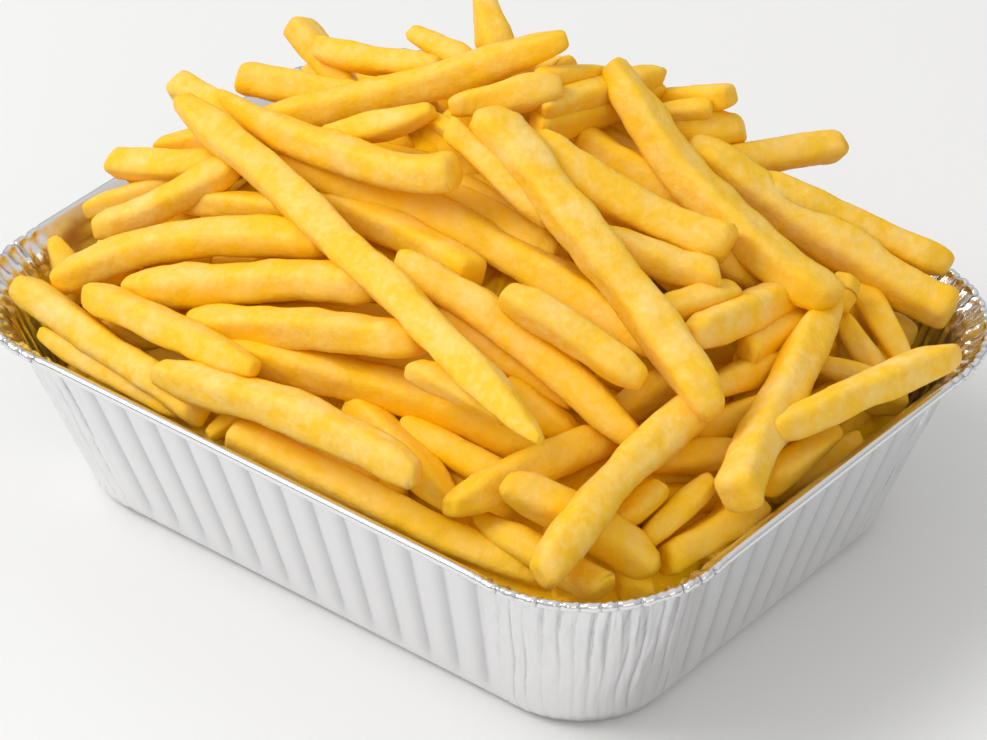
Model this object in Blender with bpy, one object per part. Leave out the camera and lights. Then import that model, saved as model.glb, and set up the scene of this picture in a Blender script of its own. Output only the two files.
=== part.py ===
# French fries heaped in an oblong aluminium foil tray.
# Metres, +Z up, X along the tray's long side, origin at the centre of the base on the table.
import math
import random

import bmesh
import bpy
import numpy as np

MM = 0.001

# foil tray, measured over its flange
RIM_LENGTH = 208 * MM
RIM_WIDTH = 165 * MM
TRAY_HEIGHT = 54.5 * MM
RIM_CORNER = 35.5 * MM
FLANGE = 5.0 * MM
FLANGE_DEPTH = 2.4 * MM
BASE_INSET = 22 * MM
BASE_CORNER = 23.5 * MM
BASE_ROUND = 7 * MM
WALL = 0.6 * MM
WALL_LEAN = (BASE_INSET - FLANGE) / TRAY_HEIGHT
FLUTE_DEPTH = 0.8 * MM
FLUTES_LONG = 14
FLUTES_SHORT = 10
CORNER_COLUMNS = 8
FLUTE_TOP = 8 * MM

# heap of fries: the height of its skin over the tray
HEAP_MARGIN = 5 * MM
HEAP_EDGE = 52 * MM
HEAP_RISE = 55 * MM
HEAP_POWER = 3.0
HEAP_FALL = 1.7
HEAP_APEX = (-26 * MM, 22 * MM)

# core that the fries are fused on
CORE_DEPTH = 18 * MM
CORE_INSET = 17 * MM
CORE_BASE_INSET = 33 * MM
CORE_COLUMNS = 28
CORE_RINGS = (1.0, 0.8, 0.6, 0.4, 0.2)
CORE_BOTTOM = 1.0 * MM

# how fries lie on one another and in the tray
TRAY_GAP = 1.2 * MM
SECTION_CORNER = 1.12
OVERLAP = 0.63
SINK_SEEN = 27 * MM
SINK_EDGE = 12 * MM
OVERHANG = 16 * MM
LONG_FRY = 120 * MM
SEEN_STEP = 3.5 * MM
SEEN_LOWEST = 2 * MM
MISSED_SLACK = 4 * MM
STEEPEST = 0.75
TILT_FREEDOM = 0.3
SLIM_RUN = 0.06
SLIM_SHARE = 0.45

# the picture the fries were read from, 987 x 740 points
PICTURE = (987, 740)
VIEW_TURN = math.radians(39.386)
VIEW_RISE = math.radians(35.029)
VIEW_ROLL = math.radians(-0.179)
VIEW_DISTANCE = 1184.2 * MM
VIEW_FOCAL = 4950.8
VIEW_SHIFT = (-2.366 * MM, -28.81 * MM)
POINT = VIEW_DISTANCE / VIEW_FOCAL

# outline of the heap against the background, which no added fry passes
HEAP_OUTLINE = [(-60, 330), (55, 240), (90, 205), (118, 155), (180, 88), (240, 70), (300, 45), (480, 40),
                (560, 42), (620, 66), (730, 92), (750, 118), (835, 160), (860, 190), (950, 250), (1060, 360)]

# fries that show in the picture: left end, right end, bulge (down is positive) and width, in points;
# the lowest ones come first
FRIES = [
    ("leftRailLow", (42, 332), (185, 412), 0, 30),
    ("lowCross", (208, 436), (296, 372), 0, 26),
    ("leftShelf", (180, 203), (300, 207), 0, 26),
    ("leftStubA", (85, 211), (185, 184), 0, 27),
    ("backLeftLow", (158, 147), (262, 140), 0, 32),
    ("underLong", (412, 366), (505, 410), 0, 30),
    ("valleyFloor", (405, 425), (520, 492), 0, 34),
    ("valleyRight", (505, 382), (578, 440), 0, 28),
    ("midPocket", (545, 262), (628, 330), 0, 30),
    ("midStub", (615, 415), (690, 372), 0, 32),
    ("rightPocketA", (712, 256), (800, 305), 0, 32),
    ("rightPocketB", (655, 316), (735, 294), 0, 30),
    ("rightPocketC", (745, 350), (815, 305), 0, 32),
    ("rightPocketD", (680, 438), (775, 402), 0, 30),
    ("rightPocketE", (838, 318), (882, 378), 0, 28),
    ("cornerPocketA", (612, 522), (662, 484), 0, 28),
    ("cornerPocketB", (630, 540), (641, 598), 0, 34),
    ("rightRailLow", (770, 494), (862, 438), 0, 26),
    ("nearRail", (478, 518), (606, 588), 0, 36),
    ("frontRail", (232, 432), (540, 578), 3, 34),
    ("rightRail", (664, 560), (764, 502), 0, 34),
    ("rightMidA", (705, 392), (790, 358), 0, 34),
    ("rightLevel", (632, 457), (762, 455), 0, 36),
    ("rightMidB", (808, 362), (895, 385), 0, 30),
    ("rightHang", (860, 285), (908, 368), 0, 32),
    ("rightShelf", (762, 482), (842, 432), 0, 30),
    ("cornerSlope", (645, 542), (712, 478), 0, 34),
    ("topPocket", (448, 176), (562, 238), 0, 28),
    ("roughCut", (578, 138), (698, 214), 0, 42),
    ("topBehind", (538, 80), (615, 76), 0, 24),
    ("topBlob", (664, 130), (744, 127), 0, 40),
    ("topSlab", (640, 100), (731, 96), 0, 26),
    ("topFold", (646, 116), (712, 108), -2, 24),
    ("topBar", (534, 128), (652, 90), 0, 34),
    ("topTilt", (540, 110), (660, 76), -2, 28),
    ("topSpoon", (450, 108), (562, 86), 0, 34),
    ("leftPeg", (115, 162), (228, 168), 2, 32),
    ("leftRamp", (93, 230), (236, 163), 6, 33),
    ("leftHorn", (52, 242), (86, 302), 0, 35),
    ("leftArch", (52, 283), (326, 246), -26, 35),
    ("levelLow", (186, 324), (420, 340), -3, 36),
    ("levelHigh", (124, 287), (380, 286), -4, 39),
    ("valleyLeg", (352, 402), (458, 508), 0, 36),
    ("longLow", (215, 348), (542, 452), -11, 37),
    ("leftPlank", (90, 294), (258, 369), 0, 36),
    ("cornerRail", (16, 284), (200, 409), 0, 35),
    ("frontPlank", (156, 368), (418, 478), -10, 38),
    ("midUnder", (425, 300), (572, 402), 0, 33),
    ("midEdge", (505, 292), (642, 382), 0, 34),
    ("lowBar", (448, 508), (612, 432), 0, 40),
    ("cornerBend", (505, 484), (652, 568), -8, 38),
    ("rightStub", (590, 232), (719, 279), 5, 33),
    ("rightOver", (688, 338), (792, 290), 3, 37),
    ("rightArm", (775, 428), (954, 354), 2, 35),
    ("backRightLong", (748, 180), (950, 265), 0, 35),
    ("flagBar", (700, 168), (837, 147), 0, 35),
    ("rightLong", (687, 144), (952, 311), 7, 41),
    ("rightChip", (840, 312), (849, 277), 0, 24),
    ("topNub", (424, 114), (505, 168), 0, 22),
    ("besideCentre", (448, 126), (552, 222), 0, 25),
    ("shortRight", (425, 188), (556, 258), -6, 34),
    ("crownChip", (413, 30), (474, 66), 0, 32),
    ("crownPost", (477, -18), (503, 62), 0, 35),
    ("crownStub", (298, 24), (352, 94), 0, 29),
    ("crownLow", (318, 48), (440, 66), 3, 29),
    ("crownLeft", (241, 78), (374, 102), 0, 37),
    ("leftBack", (176, 84), (264, 152), -7, 30),
    ("underCrown", (322, 134), (432, 110), 5, 31),
    ("crownLong", (262, 117), (567, 38), 10, 37),
    ("midLong", (395, 262), (643, 450), -14, 39),
    ("shortMid", (300, 180), (474, 275), 0, 35),
    ("sweepLong", (285, 158), (660, 350), -17, 39),
    ("sweepShort", (219, 92), (456, 170), 24, 37),
    ("nearPost", (538, 576), (704, 402), -10, 42),
    ("rightPost", (738, 498), (832, 302), -4, 43),
    ("farLong", (611, 62), (832, 302), 22, 41),
    ("thickShort", (532, 142), (730, 248), 12, 41),
    ("centreLong", (484, 113), (716, 413), -6, 43),
    ("longest", (181, 99), (541, 441), -7, 36),
]

# fries added by rule, the longest first: some over the skin where none was read, then some in the gaps
ADDED_SEED = 4
ADDED_TRIES = 60
ADDED_RADIUS = (3.7 * MM, 4.8 * MM)
COVER_FRIES = 46
COVER_LENGTHS = (88 * MM, 46 * MM)
COVER_SINK = 8 * MM
COVER_OPEN = 0.3
GAP_FRIES = 60
GAP_LENGTHS = (74 * MM, 36 * MM)
GAP_SINK = 24 * MM
LENGTH_SPREAD = (0.85, 1.1)
ADDED_STEP = 4 * MM
ADDED_MARGIN = 12 * MM
ADDED_LOWEST = 8 * MM

# an added fry is let down by these drops until it stands in front of none that shows, and an open place is
# preferred: it counts as this much less deep
DROPS = (0.0, 4 * MM, 8 * MM, 12 * MM)
HIDE_SHARE = 0.85
OUTLINE_GAP = 4
OPEN_WORTH = 20 * MM

# fries whose axis lies deeper than this are left out of the solid
FUSED_DEPTH = 19 * MM

# places tried for a fry that would touch the tray, in mm along the sight line and end to end, nearest first
SEARCH = sorted(((shift, tilt) for shift in range(-30, 31) for tilt in (0, 6, -6, 12, -12, 18, -18)),
                key=lambda one: abs(one[0]) * (1.5 if one[0] > 0 else 1.0) + abs(one[1]) * 0.5)
# a fry over the flange is at least this much above it
FLANGE_CLEAR = 14 * MM

# shape of one faceted fry
SECTION = [(1.0, 0.5), (0.5, 1.0), (-0.5, 1.0), (-1.0, 0.5),
           (-1.0, -0.5), (-0.5, -1.0), (0.5, -1.0), (1.0, -0.5)]
FLAT_ANGLE = 0.5
PLAIN_SECTION = [(1.0, 0.1), (0.55, 0.9), (-0.45, 0.95), (-1.0, -0.1), (-0.55, -0.9), (0.45, -0.95)]
FULL_WIDTH = 34
END_SLIM = 0.72
END_RUN = 5 * MM


def clear_scene():
    for thing in list(bpy.data.objects):
        bpy.data.objects.remove(thing, do_unlink=True)


def make_material(name, colour, metallic, roughness):
    material = bpy.data.materials.new(name)
    material.use_nodes = True
    shader = material.node_tree.nodes["Principled BSDF"]
    shader.inputs["Base Color"].default_value = (*colour, 1.0)
    shader.inputs["Metallic"].default_value = metallic
    shader.inputs["Roughness"].default_value = roughness
    return material


def mesh_object(name, points, faces, material):
    mesh = bpy.data.meshes.new(name)
    mesh.from_pydata([tuple(map(float, p)) for p in points], [], faces)
    mesh.validate()
    thing = bpy.data.objects.new(name, mesh)
    bpy.context.scene.collection.objects.link(thing)
    mesh.materials.append(material)
    return thing


def face_outward(thing):
    work = bmesh.new()
    work.from_mesh(thing.data)
    bmesh.ops.triangulate(work, faces=work.faces[:])
    bmesh.ops.recalc_face_normals(work, faces=work.faces[:])
    work.to_mesh(thing.data)
    work.free()


# outline of the tray

def outline_columns():
    """Where each column of the tray stands: part of the outline, place along it and flute height."""
    columns = []
    sides = (("right", FLUTES_SHORT), ("back", FLUTES_LONG), ("left", FLUTES_SHORT), ("front", FLUTES_LONG))
    for index, (side, flutes) in enumerate(sides):
        steps = 2 * flutes
        for k in range(steps):
            columns.append((side, index, (k + 0.5) / steps, 1.0 if k % 2 == 0 else -1.0))
        for k in range(CORNER_COLUMNS):
            columns.append(("corner", index, (k + 0.5) / CORNER_COLUMNS, 1.0 if k % 2 == 0 else -1.0))
    return columns


def outline_point(column, inset, corner, push):
    """A point of the outline that lies inset from the rim's, pushed outward by push."""
    side, index, along, _ = column
    half_x = RIM_LENGTH / 2 - inset
    half_y = RIM_WIDTH / 2 - inset
    run_x = half_x - corner
    run_y = half_y - corner
    if side == "right":
        return (half_x + push, run_y * (2 * along - 1))
    if side == "back":
        return (run_x * (1 - 2 * along), half_y + push)
    if side == "left":
        return (-half_x - push, run_y * (1 - 2 * along))
    if side == "front":
        return (run_x * (2 * along - 1), -half_y - push)
    turn = math.pi / 2 * (index + along)
    middle = ((run_x, run_y), (-run_x, run_y), (-run_x, -run_y), (run_x, -run_y))[index]
    reach = corner + push
    return (middle[0] + reach * math.cos(turn), middle[1] + reach * math.sin(turn))


def wall_inset(z):
    return FLANGE + WALL_LEAN * (TRAY_HEIGHT - z)


def corner_at(z):
    return BASE_CORNER + (RIM_CORNER - FLANGE - BASE_CORNER) * z / TRAY_HEIGHT


def tray_rings():
    """Section of the tray from the middle of the base out, up, over the flange and back down inside."""
    top = TRAY_HEIGHT
    fade = top - FLUTE_TOP
    base = BASE_INSET
    deep = BASE_CORNER
    half = FLUTE_DEPTH / 2
    rings = [
        (base + 4.5 * MM, deep - 4.5 * MM, 0.0, 0.0),
        (base + 1.2 * MM, deep - 1.2 * MM, 1.6 * MM, half * 0.4),
        (wall_inset(BASE_ROUND), corner_at(BASE_ROUND), BASE_ROUND, half),
        (wall_inset(fade), corner_at(fade), fade, half),
        (wall_inset(top - FLANGE_DEPTH), corner_at(top), top - FLANGE_DEPTH, 0.0),
        (0.4 * MM, RIM_CORNER - 0.4 * MM, top - FLANGE_DEPTH, 0.0),
        (0.0, RIM_CORNER, top - 1.2 * MM, 0.0),
        (1.2 * MM, RIM_CORNER - 1.2 * MM, top, 0.0),
        (FLANGE + 0.3 * MM, RIM_CORNER - FLANGE - 0.3 * MM, top - 0.4 * MM, 0.0),
        (wall_inset(fade) + WALL, corner_at(fade) - WALL, fade, half),
        (wall_inset(BASE_ROUND) + WALL, corner_at(BASE_ROUND) - WALL, BASE_ROUND, half),
        (base + 5 * MM, deep - 5 * MM, WALL, 0.0),
    ]
    return rings


def build_tray(material):
    columns = outline_columns()
    count = len(columns)
    points = []
    for inset, corner, z, flute in tray_rings():
        for column in columns:
            x, y = outline_point(column, inset, corner, flute * column[3])
            points.append((x, y, z))
    faces = []
    ring_count = len(tray_rings())
    for ring in range(ring_count - 1):
        for k in range(count):
            after = (k + 1) % count
            low, high = ring * count, (ring + 1) * count
            faces.append((low + k, low + after, high + after, high + k))
    points.append((0.0, 0.0, 0.0))
    points.append((0.0, 0.0, WALL))
    inner = (ring_count - 1) * count
    for k in range(count):
        after = (k + 1) % count
        faces.append((after, k, len(points) - 2))
        faces.append((inner + k, inner + after, len(points) - 1))
    tray = mesh_object("foil_tray", points, faces, material)
    face_outward(tray)
    return tray


# where the fries lie

def rim_depth(x, y):
    """How far a place lies inside the outline of the rim; negative outside it."""
    over_x = np.abs(x) - (RIM_LENGTH / 2 - RIM_CORNER)
    over_y = np.abs(y) - (RIM_WIDTH / 2 - RIM_CORNER)
    outside = np.hypot(np.maximum(over_x, 0), np.maximum(over_y, 0))
    return RIM_CORNER - outside - np.minimum(np.maximum(over_x, over_y), 0)


def heap_top(x, y):
    half_x = RIM_LENGTH / 2 - HEAP_MARGIN
    half_y = RIM_WIDTH / 2 - HEAP_MARGIN
    flat = (np.abs(x / half_x) ** HEAP_POWER + np.abs(y / half_y) ** HEAP_POWER) ** (1 / HEAP_POWER)
    pull = np.maximum(1 - flat, 0)
    u = (x - HEAP_APEX[0] * pull) / half_x
    v = (y - HEAP_APEX[1] * pull) / half_y
    reach = (np.abs(u) ** HEAP_POWER + np.abs(v) ** HEAP_POWER) ** (1 / HEAP_POWER)
    return HEAP_EDGE + HEAP_RISE * (1 - np.minimum(reach, 1.5) ** HEAP_FALL)


def view_axes():
    back = np.array([math.sin(VIEW_TURN) * math.cos(VIEW_RISE), -math.cos(VIEW_TURN) * math.cos(VIEW_RISE),
                     math.sin(VIEW_RISE)])
    level = np.array([math.cos(VIEW_TURN), math.sin(VIEW_TURN), 0.0])
    rise = np.cross(back, level)
    across = math.cos(VIEW_ROLL) * level + math.sin(VIEW_ROLL) * rise
    above = -math.sin(VIEW_ROLL) * level + math.cos(VIEW_ROLL) * rise
    return across, above, back


ACROSS, ABOVE, BACK = view_axes()
EYE = VIEW_DISTANCE * BACK - VIEW_SHIFT[0] * ACROSS - VIEW_SHIFT[1] * ABOVE


def sight_line(x, y):
    ray = (x - PICTURE[0] / 2) / VIEW_FOCAL * ACROSS + (PICTURE[1] / 2 - y) / VIEW_FOCAL * ABOVE - BACK
    return ray / np.linalg.norm(ray)


def seen_at(points):
    away = points - EYE
    depth = -(away @ BACK)
    seen_x = PICTURE[0] / 2 + VIEW_FOCAL * (away @ ACROSS) / depth
    seen_y = PICTURE[1] / 2 - VIEW_FOCAL * (away @ ABOVE) / depth
    return seen_x, seen_y


def hits_tray(points, radius):
    """Whether a fry of the radius given would touch the wall or flange at each point of its axis."""
    inside = rim_depth(points[:, 0], points[:, 1]) - FLANGE
    need = radius * SECTION_CORNER + TRAY_GAP
    slant = need / math.cos(math.atan(WALL_LEAN))
    below = TRAY_HEIGHT - (inside - slant) / WALL_LEAN
    above = TRAY_HEIGHT + np.sqrt(np.maximum(need ** 2 - np.maximum(inside, 0) ** 2, 0))
    wall = np.where(inside > slant, below, above)
    return (points[:, 2] < wall) & (inside > -FLANGE - need)


def low_over_flange(points):
    """Whether a point lies over the flange or past it without being well above it."""
    return (rim_depth(points[:, 0], points[:, 1]) < FLANGE) & (points[:, 2] < TRAY_HEIGHT + FLANGE_CLEAR)


def slim_ends(along, radius):
    return radius * np.where((along < SLIM_RUN) | (along > 1 - SLIM_RUN), SLIM_SHARE, 1.0)


def under_others(origin, toward, radius, laid):
    """Highest place on each line that is still under every fry already laid."""
    if len(laid) == 0:
        return np.full(len(origin), 9.0)
    offset = laid[None, :, :3] - origin[:, None]
    reach = (offset * toward[:, None]).sum(-1)
    beside = (offset ** 2).sum(-1) - reach ** 2
    apart = OVERLAP * (laid[:, 3] + radius)
    low = reach - np.sqrt(np.maximum(apart ** 2 - beside, 0))
    return np.where(beside < apart ** 2, low, 9.0).min(1)


def meet_heap(origin, toward):
    """Where each line coming from the eye meets the heap's skin, or passes it closest."""
    march = np.arange(0.16, -0.14, -0.001)
    places = origin[:, None, :] + march[None, :, None] * toward[:, None, :]
    over = places[..., 2] - heap_top(places[..., 0], places[..., 1])
    inside = rim_depth(places[..., 0], places[..., 1]) > 4 * MM
    met = (over < 0) & inside
    nearest = np.where(inside, over, 9).argmin(1)
    return march[np.where(met.any(1), met.argmax(1), nearest)], met.any(1)


def lay_line(along, limit, slope, freedom):
    """Straight line under every limit that lies highest at its middle."""
    best = None
    for tilt in np.linspace(slope - freedom, slope + freedom, 41):
        start = (limit - tilt * along).min()
        if best is None or start + tilt / 2 > best[0]:
            best = (start + tilt / 2, start, tilt)
    return best[1], best[2]


def lay_seen_fry(left, right, bulge, radius, laid):
    """Axis of a fry that shows, let in along its sight lines under those over it and clear of the tray."""
    span = math.hypot(right[0] - left[0], right[1] - left[1])
    length = span * POINT
    count = max(5, int(length / SEEN_STEP) | 1)
    along = np.linspace(0, 1, count)
    bow = 4 * along * (1 - along) * bulge
    seen_x = left[0] + along * (right[0] - left[0]) - bow * (right[1] - left[1]) / span
    seen_y = left[1] + along * (right[1] - left[1]) + bow * (right[0] - left[0]) / span
    toward = -np.array([sight_line(x, y) for x, y in zip(seen_x, seen_y)])
    origin = EYE + toward * ((-(EYE @ BACK)) / (toward @ BACK))[:, None]
    skin, met = meet_heap(origin, toward)
    known = met if met.sum() > 2 else np.ones(count, bool)
    slope, start = np.polyfit(along[known], skin[known], 1)
    skin = np.where(met, skin, np.maximum(skin, start + slope * along - MISSED_SLACK))
    slope = max(-STEEPEST * length, min(STEEPEST * length, slope))
    free_end = OVERHANG * (2 * along - 1) ** 2 * (length / LONG_FRY) ** 2
    deepest = skin - np.where(met, SINK_SEEN, SINK_EDGE)
    limit = np.minimum(skin + free_end, np.maximum(under_others(origin, toward, radius, laid), deepest))
    start, slope = lay_line(along, limit, slope, TILT_FREEDOM * length)
    for keep_in in (True, False):
        for shift, tilt in SEARCH:
            place = start + slope * along + shift * MM + tilt * MM * (along - 0.5)
            axis = origin + toward * place[:, None]
            blocked = hits_tray(axis, slim_ends(along, radius)) | (keep_in & low_over_flange(axis))
            if not blocked.any() and axis[:, 2].min() > radius + SEEN_LOWEST:
                return axis
    return None


def hides_seen(axis, radius, seen):
    """Whether a fry would stand in front of one that shows, looking from the eye."""
    toward = EYE - axis
    toward /= np.linalg.norm(toward, axis=1)[:, None]
    offset = axis[:, None] - seen[None, :, :3]
    nearer = (offset * toward[:, None]).sum(-1)
    beside = (offset ** 2).sum(-1) - nearer ** 2
    apart = HIDE_SHARE * (seen[:, 3] + radius)
    return ((nearer > 0) & (beside < apart ** 2)).any()


def lay_added_fry(chance, length, laid, seen, sink, open_share):
    """Axis of one candidate fry under the heap's skin and under the fries over it, or None."""
    radius = chance.uniform(*ADDED_RADIUS)
    middle_x = chance.uniform(-1, 1) * (RIM_LENGTH / 2 - ADDED_MARGIN)
    middle_y = chance.uniform(-1, 1) * (RIM_WIDTH / 2 - ADDED_MARGIN)
    turn = chance.uniform(0, math.pi)
    count = max(5, int(length / ADDED_STEP) | 1)
    along = np.linspace(0, 1, count)
    axis = np.zeros((count, 3))
    axis[:, 0] = middle_x + (along - 0.5) * length * math.cos(turn)
    axis[:, 1] = middle_y + (along - 0.5) * length * math.sin(turn)
    if rim_depth(axis[:, 0], axis[:, 1]).min() < FLANGE + radius + TRAY_GAP + MM:
        return None
    straight_up = np.tile([0.0, 0.0, 1.0], (count, 1))
    skin = heap_top(axis[:, 0], axis[:, 1])
    free_end = OVERHANG * (2 * along - 1) ** 2 * (length / LONG_FRY) ** 2
    others = under_others(axis, straight_up, radius, laid)
    if (others > skin).mean() < open_share:
        return None
    limit = np.minimum(skin + free_end, np.maximum(others, skin - sink))
    start, slope = lay_line(along, limit, np.polyfit(along, skin, 1)[0], TILT_FREEDOM * length)
    for drop in DROPS:
        axis[:, 2] = start + slope * along - drop
        if hits_tray(axis, slim_ends(along, radius)).any() or axis[:, 2].min() < radius + ADDED_LOWEST:
            return None
        seen_x, seen_y = seen_at(axis)
        edge = np.interp(seen_x, [p[0] for p in HEAP_OUTLINE], [p[1] for p in HEAP_OUTLINE])
        clear = (seen_y - radius / POINT > edge + OUTLINE_GAP).all()
        if clear and not hides_seen(axis, radius, seen):
            depth = (skin - axis[:, 2]).mean()
            return depth - OPEN_WORTH * (others > axis[:, 2] + radius).mean(), depth, axis, radius
    return None


def lay_fries():
    """Every fry as (name, axis, radius, depth under the skin): those read first, then those added."""
    laid = np.zeros((0, 4))
    fries = []
    for name, left, right, bulge, width in reversed(FRIES):
        radius = width * POINT / 2
        axis = lay_seen_fry(left, right, bulge, radius, laid)
        if axis is None:
            continue
        fries.append((name, axis, radius, 0.0))
        laid = np.vstack([laid, np.c_[axis, np.full(len(axis), radius)]])
    seen = laid
    chance = random.Random(ADDED_SEED)
    cover = ("cover", COVER_FRIES, COVER_LENGTHS, COVER_SINK, COVER_OPEN)
    gaps = ("gap", GAP_FRIES, GAP_LENGTHS, GAP_SINK, 0.0)
    for kind, number, lengths, sink, open_share in (cover, gaps):
        for k in range(number):
            usual = lengths[0] + (lengths[1] - lengths[0]) * k / number
            tries = [lay_added_fry(chance, usual * chance.uniform(*LENGTH_SPREAD), laid, seen, sink, open_share)
                     for _ in range(ADDED_TRIES)]
            tries = [one for one in tries if one]
            if not tries:
                continue
            _, depth, axis, radius = min(tries, key=lambda one: one[0])
            fries.append((f"{kind}{k}", axis, radius, depth))
            laid = np.vstack([laid, np.c_[axis, np.full(len(axis), radius)]])
    return fries


# faceted solids

def fry_frame(axis, k):
    before = axis[max(k - 1, 0)]
    after = axis[min(k + 1, len(axis) - 1)]
    forward = (after - before) / np.linalg.norm(after - before)
    side = np.cross(forward, [0.0, 0.0, 1.0])
    side /= np.linalg.norm(side)
    return side, np.cross(side, forward)


def resample(axis, places):
    steps = np.linalg.norm(np.diff(axis, axis=0), axis=1)
    run = np.concatenate([[0.0], np.cumsum(steps)])
    return np.array([[np.interp(p * run[-1], run, axis[:, c]) for c in range(3)] for p in places]), run[-1]


def build_fry(name, axis, radius, roll, material):
    ends, length = resample(axis, [0.0, 0.5, 1.0])
    bevel = min(0.2, END_RUN / length)
    bent = np.linalg.norm(ends[1] - (ends[0] + ends[2]) / 2) > 0.6 * MM
    places = [0.0, bevel, 0.5, 1 - bevel, 1.0] if bent else [0.0, bevel, 1 - bevel, 1.0]
    section = SECTION if radius > FULL_WIDTH * POINT / 2 else PLAIN_SECTION
    spine, _ = resample(axis, places)
    last = len(places) - 1
    points = []
    for k in range(last + 1):
        size = END_SLIM if k in (0, last) else 1.0
        side, over = fry_frame(spine, k)
        for a, b in section:
            u = (a * math.cos(roll) - b * math.sin(roll)) * radius * size
            v = (a * math.sin(roll) + b * math.cos(roll)) * radius * size
            points.append(spine[k] + u * side + v * over)
    count = len(section)
    faces = [tuple(range(count)), tuple(range(last * count, (last + 1) * count))]
    for ring in range(last):
        for k in range(count):
            after = (k + 1) % count
            low, high = ring * count, (ring + 1) * count
            faces.append((low + k, low + after, high + after, high + k))
    fry = mesh_object(name, points, faces, material)
    face_outward(fry)
    return fry


def build_core(material):
    points = []
    for part in CORE_RINGS:
        for k in range(CORE_COLUMNS):
            turn = 2 * math.pi * k / CORE_COLUMNS
            x, y = core_edge(turn, CORE_INSET)
            points.append((x * part, y * part, float(heap_top(x * part, y * part)) - CORE_DEPTH))
    for k in range(CORE_COLUMNS):
        x, y = core_edge(2 * math.pi * k / CORE_COLUMNS, CORE_BASE_INSET)
        points.append((x, y, CORE_BOTTOM))
    points.append((0.0, 0.0, float(heap_top(0.0, 0.0)) - CORE_DEPTH))
    points.append((0.0, 0.0, CORE_BOTTOM))
    order = [len(CORE_RINGS)] + list(range(len(CORE_RINGS)))
    faces = []
    for low, high in zip(order[:-1], order[1:]):
        for k in range(CORE_COLUMNS):
            after = (k + 1) % CORE_COLUMNS
            faces.append((low * CORE_COLUMNS + k, low * CORE_COLUMNS + after, high * CORE_COLUMNS + after,
                          high * CORE_COLUMNS + k))
    for k in range(CORE_COLUMNS):
        after = (k + 1) % CORE_COLUMNS
        faces.append((order[-1] * CORE_COLUMNS + k, order[-1] * CORE_COLUMNS + after, len(points) - 2))
        faces.append((order[0] * CORE_COLUMNS + after, order[0] * CORE_COLUMNS + k, len(points) - 1))
    core = mesh_object("core", points, faces, material)
    face_outward(core)
    return core


def core_edge(turn, inset):
    """Point on the rim's outline, inset, in the direction of turn."""
    low, high = 0.0, RIM_LENGTH
    x, y = math.cos(turn), math.sin(turn)
    for _ in range(40):
        middle = (low + high) / 2
        if rim_depth(middle * x, middle * y) > inset:
            low = middle
        else:
            high = middle
    return low * x, low * y


def fuse(name, base, others, solver):
    group = bpy.data.collections.new(name + "_parts")
    bpy.context.scene.collection.children.link(group)
    for thing in others:
        bpy.context.scene.collection.objects.unlink(thing)
        group.objects.link(thing)
    joined = base.modifiers.new("join", "BOOLEAN")
    joined.operation = "UNION"
    joined.operand_type = "COLLECTION"
    joined.collection = group
    joined.solver = solver
    bpy.context.view_layer.update()
    result = bpy.data.meshes.new_from_object(base.evaluated_get(bpy.context.evaluated_depsgraph_get()))
    base.modifiers.remove(joined)
    base.data = result
    base.name = name
    for thing in list(group.objects):
        bpy.data.objects.remove(thing, do_unlink=True)
    bpy.data.collections.remove(group)
    return base


def split_islands(work):
    left = set(work.faces)
    islands = []
    while left:
        island = set()
        front = [left.pop()]
        while front:
            face = front.pop()
            island.add(face)
            for edge in face.edges:
                for other in edge.link_faces:
                    if other in left:
                        left.remove(other)
                        front.append(other)
        islands.append(island)
    return sorted(islands, key=len, reverse=True)


def count_bad_edges(work):
    return sum(1 for edge in work.edges if len(edge.link_faces) != 2)


def keep_one_solid(thing):
    """Drop loose scraps and the walls of sealed hollows: only the largest island stays."""
    work = bmesh.new()
    work.from_mesh(thing.data)
    bmesh.ops.triangulate(work, faces=work.faces[:])
    islands = split_islands(work)
    for island in islands[1:]:
        bmesh.ops.delete(work, geom=list(island), context="FACES")
    bmesh.ops.delete(work, geom=[v for v in work.verts if not v.link_faces], context="VERTS")
    print(thing.name, "islands", [len(one) for one in islands][:12], "bad edges", count_bad_edges(work))
    bmesh.ops.recalc_face_normals(work, faces=work.faces[:])
    work.to_mesh(thing.data)
    work.free()


def merge_flat_faces(thing):
    """Join triangles that lie in one plane and cut them again with fewer."""
    work = bmesh.new()
    work.from_mesh(thing.data)
    angle = math.radians(FLAT_ANGLE)
    bmesh.ops.dissolve_limit(work, angle_limit=angle, verts=work.verts[:], edges=work.edges[:])
    bmesh.ops.triangulate(work, faces=work.faces[:])
    print(thing.name, "bad edges after merging", count_bad_edges(work), "triangles", len(work.faces))
    if count_bad_edges(work) == 0:
        work.to_mesh(thing.data)
    work.free()


def build_heap(material):
    core = build_core(material)
    solids = []
    fries = lay_fries()
    for index, (name, axis, radius, depth) in enumerate(fries):
        if depth > FUSED_DEPTH:
            continue
        solids.append(build_fry(name, axis, radius, 0.37 * index, material))
    print("fries fused", len(solids))
    heap = fuse("fries_heap", core, solids, "MANIFOLD")
    keep_one_solid(heap)
    merge_flat_faces(heap)
    return heap


def main():
    clear_scene()
    foil = make_material("bright aluminium foil", (0.80, 0.80, 0.82), 1.0, 0.28)
    fried = make_material("fried potato", (0.87, 0.55, 0.10), 0.0, 0.45)
    tray = build_tray(foil)
    keep_one_solid(tray)
    build_heap(fried)


main()
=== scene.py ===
import math
import random

import bpy
import numpy as np
from mathutils import Matrix, Vector, noise


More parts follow.
